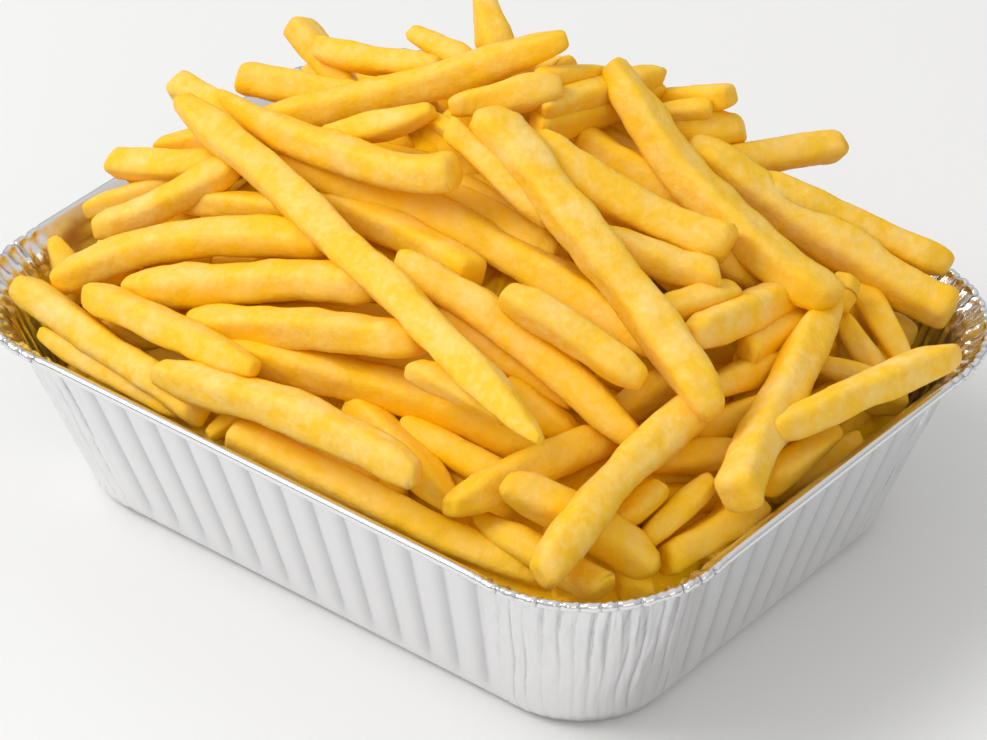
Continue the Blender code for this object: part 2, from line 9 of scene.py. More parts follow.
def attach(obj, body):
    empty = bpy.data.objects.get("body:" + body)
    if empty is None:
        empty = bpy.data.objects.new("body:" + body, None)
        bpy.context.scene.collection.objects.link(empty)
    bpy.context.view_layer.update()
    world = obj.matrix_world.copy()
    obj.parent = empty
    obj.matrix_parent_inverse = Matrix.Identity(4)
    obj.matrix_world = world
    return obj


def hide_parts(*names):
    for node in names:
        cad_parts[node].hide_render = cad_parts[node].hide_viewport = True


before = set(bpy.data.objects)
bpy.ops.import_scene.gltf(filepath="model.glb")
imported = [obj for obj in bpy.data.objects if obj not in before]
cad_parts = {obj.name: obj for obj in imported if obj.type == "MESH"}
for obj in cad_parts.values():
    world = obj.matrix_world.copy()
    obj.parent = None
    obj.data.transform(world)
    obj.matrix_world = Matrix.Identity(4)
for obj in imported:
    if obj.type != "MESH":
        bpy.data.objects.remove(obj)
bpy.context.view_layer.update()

mm = 0.001


def hexColour(code):
    # sRGB hex to the linear values that shaders use
    parts = [int(code[i:i + 2], 16) / 255 for i in (1, 3, 5)]
    return (*[p / 12.92 if p <= 0.04045 else ((p + 0.055) / 1.055) ** 2.4 for p in parts], 1.0)


def addNode(tree, kind, settings=None, links=None, **props):
    # one node with its socket values and what feeds it
    node = tree.nodes.new(kind)
    for name, value in props.items():
        setattr(node, name, value)
    for name, value in (settings or {}).items():
        node.inputs[name].default_value = value
    for name, source in (links or {}).items():
        tree.links.new(source, node.inputs[name])
    return node


def newMaterial(name):
    material = bpy.data.materials.new(name)
    material.use_nodes = True
    tree = material.node_tree
    return material, tree, tree.nodes["Principled BSDF"]


def meshPiece(name, points, faces, material, values=None):
    mesh = bpy.data.meshes.new(name)
    mesh.from_pydata(points, [], faces)
    mesh.polygons.foreach_set("use_smooth", [True] * len(mesh.polygons))
    for key, numbers in (values or {}).items():
        mesh.attributes.new(key, "FLOAT", "POINT").data.foreach_set("value", numbers)
    mesh.materials.append(material)
    mesh.update()
    piece = bpy.data.objects.new(name, mesh)
    bpy.context.scene.collection.objects.link(piece)
    return piece


# camera: turn, rise and distance fitted to the rim and the base in the picture
camera = {"turn": 39.386, "rise": 35.029, "roll": -0.179, "distance": 1184.2 * mm, "focal": 4950.8,
          "shift": (-2.366 * mm, -28.81 * mm), "frame": (987, 740)}


def cameraAxes():
    turn, rise, roll = (math.radians(camera[k]) for k in ("turn", "rise", "roll"))
    back = np.array([math.sin(turn) * math.cos(rise), -math.cos(turn) * math.cos(rise), math.sin(rise)])
    level = np.array([math.cos(turn), math.sin(turn), 0.0])
    upright = np.cross(back, level)
    return (math.cos(roll) * level + math.sin(roll) * upright,
            -math.sin(roll) * level + math.cos(roll) * upright, back)


across, above, back = cameraAxes()
eye = camera["distance"] * back - camera["shift"][0] * across - camera["shift"][1] * above
onePoint = camera["distance"] / camera["focal"]


def setCamera():
    data = bpy.data.cameras.new("camera")
    data.sensor_width = 36
    data.lens = camera["focal"] * 36 / camera["frame"][0]
    data.clip_start = 0.05
    data.clip_end = 60
    thing = bpy.data.objects.new("camera", data)
    bpy.context.scene.collection.objects.link(thing)
    turn = Matrix((across, above, back)).transposed()
    thing.matrix_world = Matrix.Translation(Vector(eye)) @ turn.to_4x4()
    bpy.context.scene.camera = thing


# tray, measured over its flange
tray = {"length": 208 * mm, "width": 165 * mm, "height": 54.5 * mm, "corner": 35.5 * mm, "flange": 5 * mm,
        "baseInset": 22 * mm, "baseCorner": 23.5 * mm, "baseRound": 7 * mm, "wall": 0.6 * mm,
        "flutesLong": 14, "flutesShort": 10, "fluteTop": 8 * mm, "stepsPerFlute": 12, "cornerSteps": 150,
        "wallRings": 30, "insideRings": 16}
trayLean = (tray["baseInset"] - tray["flange"]) / tray["height"]

# heap: height of its skin, and the fries on it
heap = {"margin": 5 * mm, "edge": 52 * mm, "rise": 55 * mm, "power": 3.0, "fall": 1.7,
        "apex": (-26 * mm, 22 * mm), "trayGap": 1.2 * mm, "reach": 1.12, "overlap": 0.63,
        "sinkSeen": 27 * mm, "sinkEdge": 12 * mm, "overhang": 16 * mm, "longFry": 120 * mm, "flangeClear": 14 * mm}

# fries that show: left end, right end, bulge and width in picture points, the lowest ones first
fries = [
    ("leftRailLow", (42, 332), (185, 412), 0, 30), ("lowCross", (208, 436), (296, 372), 0, 26),
    ("leftShelf", (180, 203), (300, 207), 0, 26), ("leftStubA", (85, 211), (185, 184), 0, 27),
    ("backLeftLow", (158, 147), (262, 140), 0, 32), ("underLong", (412, 366), (505, 410), 0, 30),
    ("valleyFloor", (405, 425), (520, 492), 0, 34), ("valleyRight", (505, 382), (578, 440), 0, 28),
    ("midPocket", (545, 262), (628, 330), 0, 30), ("midStub", (615, 415), (690, 372), 0, 32),
    ("rightPocketA", (712, 256), (800, 305), 0, 32), ("rightPocketB", (655, 316), (735, 294), 0, 30),
    ("rightPocketC", (745, 350), (815, 305), 0, 32), ("rightPocketD", (680, 438), (775, 402), 0, 30),
    ("rightPocketE", (838, 318), (882, 378), 0, 28), ("cornerPocketA", (612, 522), (662, 484), 0, 28),
    ("cornerPocketB", (630, 540), (641, 598), 0, 34), ("rightRailLow", (770, 494), (862, 438), 0, 26),
    ("nearRail", (478, 518), (606, 588), 0, 36), ("frontRail", (232, 432), (540, 578), 3, 34),
    ("rightRail", (664, 560), (764, 502), 0, 34), ("rightMidA", (705, 392), (790, 358), 0, 34),
    ("rightLevel", (632, 457), (762, 455), 0, 36), ("rightMidB", (808, 362), (895, 385), 0, 30),
    ("rightHang", (860, 285), (908, 368), 0, 32), ("rightShelf", (762, 482), (842, 432), 0, 30),
    ("cornerSlope", (645, 542), (712, 478), 0, 34), ("topPocket", (448, 176), (562, 238), 0, 28),
    ("roughCut", (578, 138), (698, 214), 0, 42), ("topBehind", (538, 80), (615, 76), 0, 24),
    ("topBlob", (664, 130), (744, 127), 0, 40), ("topSlab", (640, 100), (731, 96), 0, 26),
    ("topFold", (646, 116), (712, 108), -2, 24),
    ("topBar", (534, 128), (652, 90), 0, 34), ("topTilt", (540, 110), (660, 76), -2, 28),
    ("topSpoon", (450, 108), (562, 86), 0, 34), ("leftPeg", (115, 162), (228, 168), 2, 32),
    ("leftRamp", (93, 230), (236, 163), 6, 33), ("leftHorn", (52, 242), (86, 302), 0, 35),
    ("leftArch", (52, 283), (326, 246), -26, 35), ("levelLow", (186, 324), (420, 340), -3, 36),
    ("levelHigh", (124, 287), (380, 286), -4, 39), ("valleyLeg", (352, 402), (458, 508), 0, 36),
    ("longLow", (215, 348), (542, 452), -11, 37), ("leftPlank", (90, 294), (258, 369), 0, 36),
    ("cornerRail", (16, 284), (200, 409), 0, 35), ("frontPlank", (156, 368), (418, 478), -10, 38),
    ("midUnder", (425, 300), (572, 402), 0, 33), ("midEdge", (505, 292), (642, 382), 0, 34),
    ("lowBar", (448, 508), (612, 432), 0, 40), ("cornerBend", (505, 484), (652, 568), -8, 38),
    ("rightStub", (590, 232), (719, 279), 5, 33), ("rightOver", (688, 338), (792, 290), 3, 37),
    ("rightArm", (775, 428), (954, 354), 2, 35), ("backRightLong", (748, 180), (950, 265), 0, 35),
    ("flagBar", (700, 168), (837, 147), 0, 35), ("rightLong", (687, 144), (952, 311), 7, 41),
    ("rightChip", (840, 312), (849, 277), 0, 24), ("topNub", (424, 114), (505, 168), 0, 22),
    ("besideCentre", (448, 126), (552, 222), 0, 25), ("shortRight", (425, 188), (556, 258), -6, 34),
    ("crownChip", (413, 30), (474, 66), 0, 32), ("crownPost", (477, -18), (503, 62), 0, 35),
    ("crownStub", (298, 24), (352, 94), 0, 29), ("crownLow", (318, 48), (440, 66), 3, 29),
    ("crownLeft", (241, 78), (374, 102), 0, 37), ("leftBack", (176, 84), (264, 152), -7, 30),
    ("underCrown", (322, 134), (432, 110), 5, 31), ("crownLong", (262, 117), (567, 38), 10, 37),
    ("midLong", (395, 262), (643, 450), -14, 39), ("shortMid", (300, 180), (474, 275), 0, 35),
    ("sweepLong", (285, 158), (660, 350), -17, 39), ("sweepShort", (219, 92), (456, 170), 24, 37),
    ("nearPost", (538, 576), (704, 402), -10, 42), ("rightPost", (738, 498), (832, 302), -4, 43),
    ("farLong", (611, 62), (832, 302), 22, 41), ("thickShort", (532, 142), (730, 248), 12, 41),
    ("centreLong", (484, 113), (716, 413), -6, 43), ("longest", (181, 99), (541, 441), -7, 36),
]
heapOutline = [(-60, 330), (55, 240), (90, 205), (118, 155), (180, 88), (240, 70), (300, 45), (480, 40),
               (560, 42), (620, 66), (730, 92), (750, 118), (835, 160), (860, 190), (950, 250), (1060, 360)]

# fries laid by rule: over the back where none shows, then in the gaps
added = {"seed": 4, "tries": 60, "radius": (3.7 * mm, 4.8 * mm),
         "cover": (46, (88 * mm, 46 * mm), 8 * mm, 0.3), "gap": (60, (74 * mm, 36 * mm), 24 * mm, 0.0),
         "drops": (0.0, 4 * mm, 8 * mm, 12 * mm), "hide": 0.85, "outlineGap": 4, "openWorth": 20 * mm}


def rimDepth(x, y):
    # how far a place lies inside the rim's outline
    overX = np.abs(x) - (tray["length"] / 2 - tray["corner"])
    overY = np.abs(y) - (tray["width"] / 2 - tray["corner"])
    outside = np.hypot(np.maximum(overX, 0), np.maximum(overY, 0))
    return tray["corner"] - outside - np.minimum(np.maximum(overX, overY), 0)


def heapTop(x, y):
    halfX = tray["length"] / 2 - heap["margin"]
    halfY = tray["width"] / 2 - heap["margin"]
    power = heap["power"]
    flat = (np.abs(x / halfX) ** power + np.abs(y / halfY) ** power) ** (1 / power)
    pull = np.maximum(1 - flat, 0)
    u = (x - heap["apex"][0] * pull) / halfX
    v = (y - heap["apex"][1] * pull) / halfY
    reach = (np.abs(u) ** power + np.abs(v) ** power) ** (1 / power)
    return heap["edge"] + heap["rise"] * (1 - np.minimum(reach, 1.5) ** heap["fall"])


def sightLine(x, y):
    width, height = camera["frame"]
    ray = (x - width / 2) / camera["focal"] * across + (height / 2 - y) / camera["focal"] * above - back
    return ray / np.linalg.norm(ray)


def seenAt(points):
    away = points - eye
    depth = -(away @ back)
    width, height = camera["frame"]
    right = width / 2 + camera["focal"] * (away @ across) / depth
    down = height / 2 - camera["focal"] * (away @ above) / depth
    return right, down


def hitsTray(points, radius):
    inside = rimDepth(points[:, 0], points[:, 1]) - tray["flange"]
    need = radius * heap["reach"] + heap["trayGap"]
    slant = need / math.cos(math.atan(trayLean))
    below = tray["height"] - (inside - slant) / trayLean
    over = tray["height"] + np.sqrt(np.maximum(need ** 2 - np.maximum(inside, 0) ** 2, 0))
    wall = np.where(inside > slant, below, over)
    return (points[:, 2] < wall) & (inside > -tray["flange"] - need)


def lowOverFlange(points):
    low = points[:, 2] < tray["height"] + heap["flangeClear"]
    return (rimDepth(points[:, 0], points[:, 1]) < tray["flange"]) & low


def slimEnds(along, radius):
    return radius * np.where((along < 0.06) | (along > 0.94), 0.45, 1.0)


def underOthers(origin, toward, radius, laid):
    # highest place on each line that is still under every fry already laid
    if len(laid) == 0:
        return np.full(len(origin), 9.0)
    offset = laid[None, :, :3] - origin[:, None]
    reach = (offset * toward[:, None]).sum(-1)
    beside = (offset ** 2).sum(-1) - reach ** 2
    apart = heap["overlap"] * (laid[:, 3] + radius)
    low = reach - np.sqrt(np.maximum(apart ** 2 - beside, 0))
    return np.where(beside < apart ** 2, low, 9.0).min(1)


def meetHeap(origin, toward):
    # where each line from the eye meets the heap's skin, or passes it closest
    march = np.arange(0.16, -0.14, -0.001)
    places = origin[:, None, :] + march[None, :, None] * toward[:, None, :]
    over = places[..., 2] - heapTop(places[..., 0], places[..., 1])
    inside = rimDepth(places[..., 0], places[..., 1]) > 4 * mm
    met = (over < 0) & inside
    nearest = np.where(inside, over, 9).argmin(1)
    return march[np.where(met.any(1), met.argmax(1), nearest)], met.any(1)


def layLine(along, limit, slope, freedom):
    # straight line under every limit that lies highest at its middle
    best = None
    for tilt in np.linspace(slope - freedom, slope + freedom, 41):
        start = (limit - tilt * along).min()
        if best is None or start + tilt / 2 > best[0]:
            best = (start + tilt / 2, start, tilt)
    return best[1], best[2]


# moves tried for a fry that would touch the tray: mm along the sight line and end to end, nearest first
moves = sorted(((shift, tilt) for shift in range(-30, 31) for tilt in (0, 6, -6, 12, -12, 18, -18)),
               key=lambda one: abs(one[0]) * (1.5 if one[0] > 0 else 1.0) + abs(one[1]) * 0.5)


def laySeenFry(left, right, bulge, radius, laid):
    span = math.hypot(right[0] - left[0], right[1] - left[1])
    length = span * onePoint
    count = max(5, int(length / (3.5 * mm)) | 1)
    along = np.linspace(0, 1, count)
    bow = 4 * along * (1 - along) * bulge
    seenX = left[0] + along * (right[0] - left[0]) - bow * (right[1] - left[1]) / span
    seenY = left[1] + along * (right[1] - left[1]) + bow * (right[0] - left[0]) / span
    toward = -np.array([sightLine(x, y) for x, y in zip(seenX, seenY)])
    origin = eye + toward * ((-(eye @ back)) / (toward @ back))[:, None]
    skin, met = meetHeap(origin, toward)
    known = met if met.sum() > 2 else np.ones(count, bool)
    slope, start = np.polyfit(along[known], skin[known], 1)
    skin = np.where(met, skin, np.maximum(skin, start + slope * along - 4 * mm))
    slope = max(-0.75 * length, min(0.75 * length, slope))
    freeEnd = heap["overhang"] * (2 * along - 1) ** 2 * (length / heap["longFry"]) ** 2
    deepest = skin - np.where(met, heap["sinkSeen"], heap["sinkEdge"])
    limit = np.minimum(skin + freeEnd, np.maximum(underOthers(origin, toward, radius, laid), deepest))
    start, slope = layLine(along, limit, slope, 0.3 * length)
    for keepIn in (True, False):
        for shift, tilt in moves:
            place = start + slope * along + shift * mm + tilt * mm * (along - 0.5)
            axis = origin + toward * place[:, None]
            blocked = hitsTray(axis, slimEnds(along, radius)) | (keepIn & lowOverFlange(axis))
            if not blocked.any() and axis[:, 2].min() > radius + 2 * mm:
                return axis
    return None


def hidesSeen(axis, radius, seen):
    # whether a fry would stand in front of one that shows
    toward = eye - axis
    toward /= np.linalg.norm(toward, axis=1)[:, None]
    offset = axis[:, None] - seen[None, :, :3]
    nearer = (offset * toward[:, None]).sum(-1)
    beside = (offset ** 2).sum(-1) - nearer ** 2
    apart = added["hide"] * (seen[:, 3] + radius)
    return ((nearer > 0) & (beside < apart ** 2)).any()


def layAddedFry(chance, length, laid, seen, sink, openShare):
    radius = chance.uniform(*added["radius"])
    middleX = chance.uniform(-1, 1) * (tray["length"] / 2 - 12 * mm)
    middleY = chance.uniform(-1, 1) * (tray["width"] / 2 - 12 * mm)
    turn = chance.uniform(0, math.pi)
    count = max(5, int(length / (4 * mm)) | 1)
    along = np.linspace(0, 1, count)
    axis = np.zeros((count, 3))
    axis[:, 0] = middleX + (along - 0.5) * length * math.cos(turn)
    axis[:, 1] = middleY + (along - 0.5) * length * math.sin(turn)
    if rimDepth(axis[:, 0], axis[:, 1]).min() < tray["flange"] + radius + heap["trayGap"] + mm:
        return None
    straightUp = np.tile([0.0, 0.0, 1.0], (count, 1))
    skin = heapTop(axis[:, 0], axis[:, 1])
    freeEnd = heap["overhang"] * (2 * along - 1) ** 2 * (length / heap["longFry"]) ** 2
    others = underOthers(axis, straightUp, radius, laid)
    if (others > skin).mean() < openShare:
        return None
    limit = np.minimum(skin + freeEnd, np.maximum(others, skin - sink))
    start, slope = layLine(along, limit, np.polyfit(along, skin, 1)[0], 0.3 * length)
    for drop in added["drops"]:
        axis[:, 2] = start + slope * along - drop
        if hitsTray(axis, slimEnds(along, radius)).any() or axis[:, 2].min() < radius + 8 * mm:
            return None
        seenX, seenY = seenAt(axis)
        edge = np.interp(seenX, [p[0] for p in heapOutline], [p[1] for p in heapOutline])
        clear = (seenY - radius / onePoint > edge + added["outlineGap"]).all()
        if clear and not hidesSeen(axis, radius, seen):
            depth = (skin - axis[:, 2]).mean()
            return depth - added["openWorth"] * (others > axis[:, 2] + radius).mean(), axis, radius
    return None


def layFries():
    laid = np.zeros((0, 4))
    placed = []
    for name, left, right, bulge, width in reversed(fries):
        radius = width * onePoint / 2
        axis = laySeenFry(left, right, bulge, radius, laid)
        if axis is None:
            continue
        placed.append((name, axis, radius))
        laid = np.vstack([laid, np.c_[axis, np.full(len(axis), radius)]])
    seen = laid
    chance = random.Random(added["seed"])
    for kind in ("cover", "gap"):
        number, lengths, sink, openShare = added[kind]
        for k in range(number):
            usual = lengths[0] + (lengths[1] - lengths[0]) * k / number
            tries = [layAddedFry(chance, usual * chance.uniform(0.85, 1.1), laid, seen, sink, openShare)
                     for _ in range(added["tries"])]
            tries = [one for one in tries if one]
            if not tries:
                continue
            _, axis, radius = min(tries, key=lambda one: one[0])
            placed.append((f"{kind}{k}", axis, radius))
            laid = np.vstack([laid, np.c_[axis, np.full(len(axis), radius)]])
    return placed


# one fry: cut square with soft uneven edges, blunt, rounded or tapered ends
fry = {"sides": 24, "ringStep": 1.9 * mm, "square": (3.4, 5.2), "fill": 0.97, "aspect": (0.92, 1.0),
       "uneven": 0.085, "unevenStep": 15 * mm, "lump": 0.065, "lumpStep": 6.5 * mm, "dimple": 0.018,
       "dimpleStep": 2.6 * mm, "wobble": 1.1 * mm, "wobbleStep": 26 * mm, "twist": 0.7, "skew": 0.75, "seed": 21,
       "caps": (0.0, 0.35 * mm, 0.9 * mm, 1.7 * mm), "capSizes": (0.80, 0.925, 0.975, 1.0), "bodyStart": 2.8 * mm,
       "tipFade": 4 * mm, "cutRun": 8 * mm, "cornerSpread": 2.0, "cornerStep": 9 * mm, "powers": (2.7, 6.5),
       "pressBelow": 6 * mm, "pressInset": 2.2 * mm, "deepShadeFrom": 2 * mm, "deepShadeRun": 22 * mm}
endShapes = {
    "longest": ("slim", "point"), "sweepShort": ("point", "cut"), "centreLong": ("round", "round"),
    "farLong": ("slim", "round"), "thickShort": ("round", "cut"), "rightPost": ("cut", "slim"),
    "nearPost": ("round", "round"), "sweepLong": ("slim", "round"), "shortMid": ("slim", "cut"),
    "midLong": ("round", "slim"), "crownLong": ("slim", "slim"), "crownLeft": ("cut", "round"),
    "crownStub": ("cut", "round"), "crownChip": ("slim", "round"), "crownPost": ("slim", "round"),
    "rightLong": ("round", "cut"), "flagBar": ("round", "cut"), "topBlob": ("round", "round"),
    "leftPeg": ("cut", "round"), "leftArch": ("round", "round"), "rightStub": ("round", "cut"),
    "leftBack": ("cut", "round"), "besideCentre": ("cut", "round"), "leftHorn": ("slim", "round"),
    "rightChip": ("round", "cut"), "topSpoon": ("slim", "round"), "underCrown": ("slim", "slim"),
    "cornerRail": ("round", "cut"), "leftPlank": ("round", "slim"), "levelHigh": ("slim", "round"),
    "rightArm": ("round", "round"), "backRightLong": ("round", "round"), "topSlab": ("round", "cut"),
}
# length of the taper and size at the very end
endKinds = {"cut": (2.4 * mm, 0.92), "round": (7 * mm, 0.66), "slim": (19 * mm, 0.50), "point": (30 * mm, 0.24)}


def endSize(distance, kind):
    run, least = endKinds[kind]
    return least + (1 - least) * np.sin(np.clip(distance / run, 0, 1) * math.pi / 2) ** 0.8


def noiseAt(places, step):
    return np.array([noise.noise(Vector(p / step)) for p in places])


def fryMesh(axis, radius, ends, chance):
    steps = np.linalg.norm(np.diff(axis, axis=0), axis=1)
    run = np.concatenate([[0.0], np.cumsum(steps)])
    length = run[-1]
    caps = np.array(fry["caps"])
    body = np.linspace(fry["bodyStart"], length - fry["bodyStart"], max(6, int(length / fry["ringStep"])))
    places = np.concatenate([caps, body, length - caps[::-1]])
    rings, sides = len(places), fry["sides"]
    spine = np.stack([np.interp(places, run, axis[:, c]) for c in range(3)], 1)
    padded = [np.pad(spine[:, c], 2, mode="reflect", reflect_type="odd") for c in range(3)]
    spine = np.stack([np.convolve(one, np.ones(5) / 5, "valid") for one in padded], 1)
    forward = np.gradient(spine, places, axis=0)
    forward /= np.linalg.norm(forward, axis=1)[:, None]
    side = np.cross(forward, [0.0, 0.0, 1.0])
    side /= np.linalg.norm(side, axis=1)[:, None]
    over = np.cross(side, forward)
    seed = chance.uniform(0, 50)
    shift = np.array([seed, seed * 1.7, -seed]) * 0.1

    # slow changes of width and drift of the axis along the fry
    slow = np.c_[places, np.full(rings, seed * mm * 40), np.zeros(rings)]
    width = 1 + fry["uneven"] * 1.6 * noiseAt(slow, fry["unevenStep"])
    ease = np.clip(np.minimum(places, length - places) / fry["cutRun"], 0, 1)
    driftA = fry["wobble"] * noiseAt(slow + [0, 0.3, 0], fry["wobbleStep"])
    driftB = fry["wobble"] * noiseAt(slow + [0, 0.7, 0], fry["wobbleStep"])
    spine = spine + driftA[:, None] * side + driftB[:, None] * over

    near, far = places, length - places
    edge = np.minimum(near, far)
    size = endSize(near, ends[0]) * endSize(far, ends[1]) * width
    size *= np.interp(edge, caps, fry["capSizes"])

    angles = np.arange(sides) * 2 * math.pi / sides
    cosine, sine = np.cos(angles), np.sin(angles)
    power = chance.uniform(*fry["square"])
    around = np.tile(cosine, rings), np.tile(sine, rings)
    place = np.repeat(places, sides)
    step = fry["cornerStep"]
    cornerBlend = noiseAt(np.c_[place * 0.5, around[0] * step + seed, around[1] * step], step)
    powers = np.clip(power + fry["cornerSpread"] * cornerBlend, *fry["powers"])
    square = (np.abs(around[0]) ** powers + np.abs(around[1]) ** powers) ** (-1 / powers)
    skinPlace = np.c_[place, around[0] * radius + shift[0], around[1] * radius + shift[1]]
    lump = 1 + fry["lump"] * 1.6 * noiseAt(skinPlace + [0, 0, 0.2], fry["lumpStep"])
    lump += fry["dimple"] * 1.6 * noiseAt(skinPlace, fry["dimpleStep"])
    reach = radius * fry["fill"] * np.repeat(size, sides) * square * lump
    u = reach * around[0]
    v = reach * around[1] * chance.uniform(*fry["aspect"])
    skewU, skewV = chance.uniform(-1, 1) * fry["skew"], chance.uniform(-1, 1) * fry["skew"]
    lean = np.repeat(np.clip(1 - edge / fry["cutRun"], 0, 1) * np.where(near < far, 1.0, -1.0), sides)
    along = lean * (skewU * u + skewV * v) * np.repeat(1 - 0.5 * (ease < 0.2), sides)
    turn = chance.uniform(0, math.pi / 2) + chance.uniform(-1, 1) * fry["twist"] * place / length
    alongSide = u * np.cos(turn) - v * np.sin(turn)
    alongOver = u * np.sin(turn) + v * np.cos(turn)
    points = (np.repeat(spine, sides, axis=0) + alongSide[:, None] * np.repeat(side, sides, axis=0)
              + alongOver[:, None] * np.repeat(over, sides, axis=0)
              + along[:, None] * np.repeat(forward, sides, axis=0))
    tips = list(np.repeat(np.exp(-edge / fry["tipFade"]), sides))
    ridge = list(np.clip((square - 1) * 4, 0, 1))

    faces = []
    for ring in range(rings - 1):
        low, high = ring * sides, (ring + 1) * sides
        faces += [(low + a, low + (a + 1) % sides, high + (a + 1) % sides, high + a) for a in range(sides)]
    # end faces, slightly raised at the middle
    extra = []
    for ring, sign in ((0, -1), (rings - 1, 1)):
        loop = points[ring * sides:(ring + 1) * sides]
        middle = loop.mean(0)
        inner = len(points) + len(extra)
        extra += [p * 0.5 + middle * 0.5 + sign * 0.12 * mm * forward[ring] for p in loop]
        extra.append(middle + sign * chance.uniform(-0.1, 0.25) * mm * forward[ring])
        for a in range(sides):
            b = (a + 1) % sides
            quad = (ring * sides + a, ring * sides + b, inner + b, inner + a)
            last = (inner + a, inner + b, inner + sides)
            faces += [quad, last] if sign > 0 else [quad[::-1], last[::-1]]
    tips += [1.0] * len(extra)
    ridge += [0.0] * len(extra)
    return np.vstack([points, extra]), faces, tips, ridge


def depthShadeShare(points):
    # how far under the skin of the heap each place lies: 0 on it, 1 deep in a gap; it sets the painted shade of the
    # gaps in the fries' colour
    below = heapTop(points[:, 0], points[:, 1]) - points[:, 2]
    return np.clip((below - fry["deepShadeFrom"]) / fry["deepShadeRun"], 0, 1)


# step between places along each fry, how far off another still closes it in, and how much, for the painted shade
# where fries lie close together
crowdShading = {"step": 3 * mm, "reach": 14 * mm, "fade": 5 * mm, "thickest": 6 * mm, "closest": 3 * mm, "worth": 1.25}


def axisPlaces(placed):
    # places along every fry: position, radius and number of the fry
    rows = []
    for number, (_, axis, radius) in enumerate(placed):
        run = np.concatenate([[0.0], np.cumsum(np.linalg.norm(np.diff(axis, axis=0), axis=1))])
        steps = np.arange(crowdShading["step"] / 2, run[-1], crowdShading["step"])
        rows.append(np.stack([np.interp(steps, run, axis[:, c]) for c in range(3)]
                             + [np.full(len(steps), radius), np.full(len(steps), number)], 1))
    return np.vstack(rows)


def crowdShadeShare(points, number, places):
    # share of what each place faces that other fries close off, taken as short round bars; it sets the painted
    # shade between fries
    own = places[places[:, 4] == number, :3]
    apart = np.linalg.norm(points[:, None] - own[None], axis=2)
    outward = points - own[apart.argmin(1)]
    outward /= np.linalg.norm(outward, axis=1)[:, None]
    others = places[places[:, 4] != number]
    reach = crowdShading["reach"] + crowdShading["thickest"]
    near = others[(np.linalg.norm(others[:, None, :3] - own[None], axis=2) < reach).any(1)]
    offset = near[None, :, :3] - points[:, None]
    away = np.linalg.norm(offset, axis=2)
    facing = np.maximum((offset * outward[:, None]).sum(2) / away, 0)
    closed = 2 * near[:, 3] * crowdShading["step"] / (math.pi * np.maximum(away, crowdShading["closest"]) ** 2) * facing
    closed *= np.clip((crowdShading["reach"] - away) / crowdShading["fade"], 0, 1)
    return np.clip(crowdShading["worth"] * closed.sum(1), 0, 1)


def pressedInside(spots):
    # an end that reaches the wall lies pressed flat against it
    below = spots[:, 2] < tray["height"] - fry["pressBelow"]
    inset = tray["flange"] + trayLean * (tray["height"] - spots[below, 2]) + fry["pressInset"]
    for k, half in ((0, tray["length"] / 2), (1, tray["width"] / 2)):
        spots[below, k] = np.clip(spots[below, k], inset - half, half - inset)
    return spots


def makeFries(name, group, places, material):
    chance = random.Random(fry["seed"] + len(name))
    points, faces, values = [], [], {"tip": [], "ridge": [], "tone": [], "deep": [], "crowdShade": []}
    count = 0
    for number, (label, axis, radius) in group:
        ends = endShapes.get(label) or tuple(chance.choice(("cut", "round", "round", "slim")) for _ in range(2))
        some, someFaces, tips, ridge = fryMesh(axis, radius, ends, chance)
        points.append(some)
        faces += [tuple(count + i for i in face) for face in someFaces]
        values["tip"] += tips
        values["ridge"] += ridge
        values["tone"] += [chance.random()] * len(some)
        values["deep"] += list(depthShadeShare(some))
        values["crowdShade"] += list(crowdShadeShare(some, number, places))
        count += len(some)
    piece = meshPiece(name, pressedInside(np.vstack(points)).tolist(), faces, material, values)
    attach(piece, "root")
    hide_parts("fries_heap")
    print(name, len(group), "fries", sum(len(f) - 2 for f in faces), "triangles")


def coreEdge(turn, inset):
    low, high = 0.0, tray["length"]
    for _ in range(40):
        middle = (low + high) / 2
        if rimDepth(middle * math.cos(turn), middle * math.sin(turn)) > inset:
            low = middle
        else:
            high = middle
    return low * math.cos(turn), low * math.sin(turn)


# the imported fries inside, far enough down that only their colour comes through the gaps
core = {"depth": 24 * mm, "inset": 19 * mm, "baseInset": 33 * mm, "bottom": 1 * mm, "columns": 72, "rings": 14}


def makeCore(material):
    points, faces = [], []
    count = core["columns"]
    edge = [coreEdge(2 * math.pi * k / count, core["inset"]) for k in range(count)]
    foot = [coreEdge(2 * math.pi * k / count, core["baseInset"]) for k in range(count)]
    points += [(x, y, core["bottom"]) for x, y in foot]
    for ring in range(core["rings"]):
        part = 1 - ring / core["rings"]
        points += [(x * part, y * part, float(heapTop(x * part, y * part)) - core["depth"]) for x, y in edge]
    points.append((0, 0, float(heapTop(0.0, 0.0)) - core["depth"]))
    points.append((0, 0, core["bottom"]))
    for ring in range(core["rings"]):
        low, high = ring * count, (ring + 1) * count
        faces += [(low + k, low + (k + 1) % count, high + (k + 1) % count, high + k) for k in range(count)]
    for k in range(count):
        after = (k + 1) % count
        faces.append((core["rings"] * count + k, core["rings"] * count + after, len(points) - 2))
        faces.append((after, k, len(points) - 1))
    # painted shade: the core takes the full colour of the deepest, most closed-in gaps
    full = [1.0] * len(points)
    piece = meshPiece("fries_core", points, faces, material,
                      {"tip": full, "ridge": [0.0] * len(points), "tone": full, "deep": full, "crowdShade": full})
    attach(piece, "root")
    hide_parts("fries_heap")
    print("core", sum(len(f) - 2 for f in faces), "triangles")


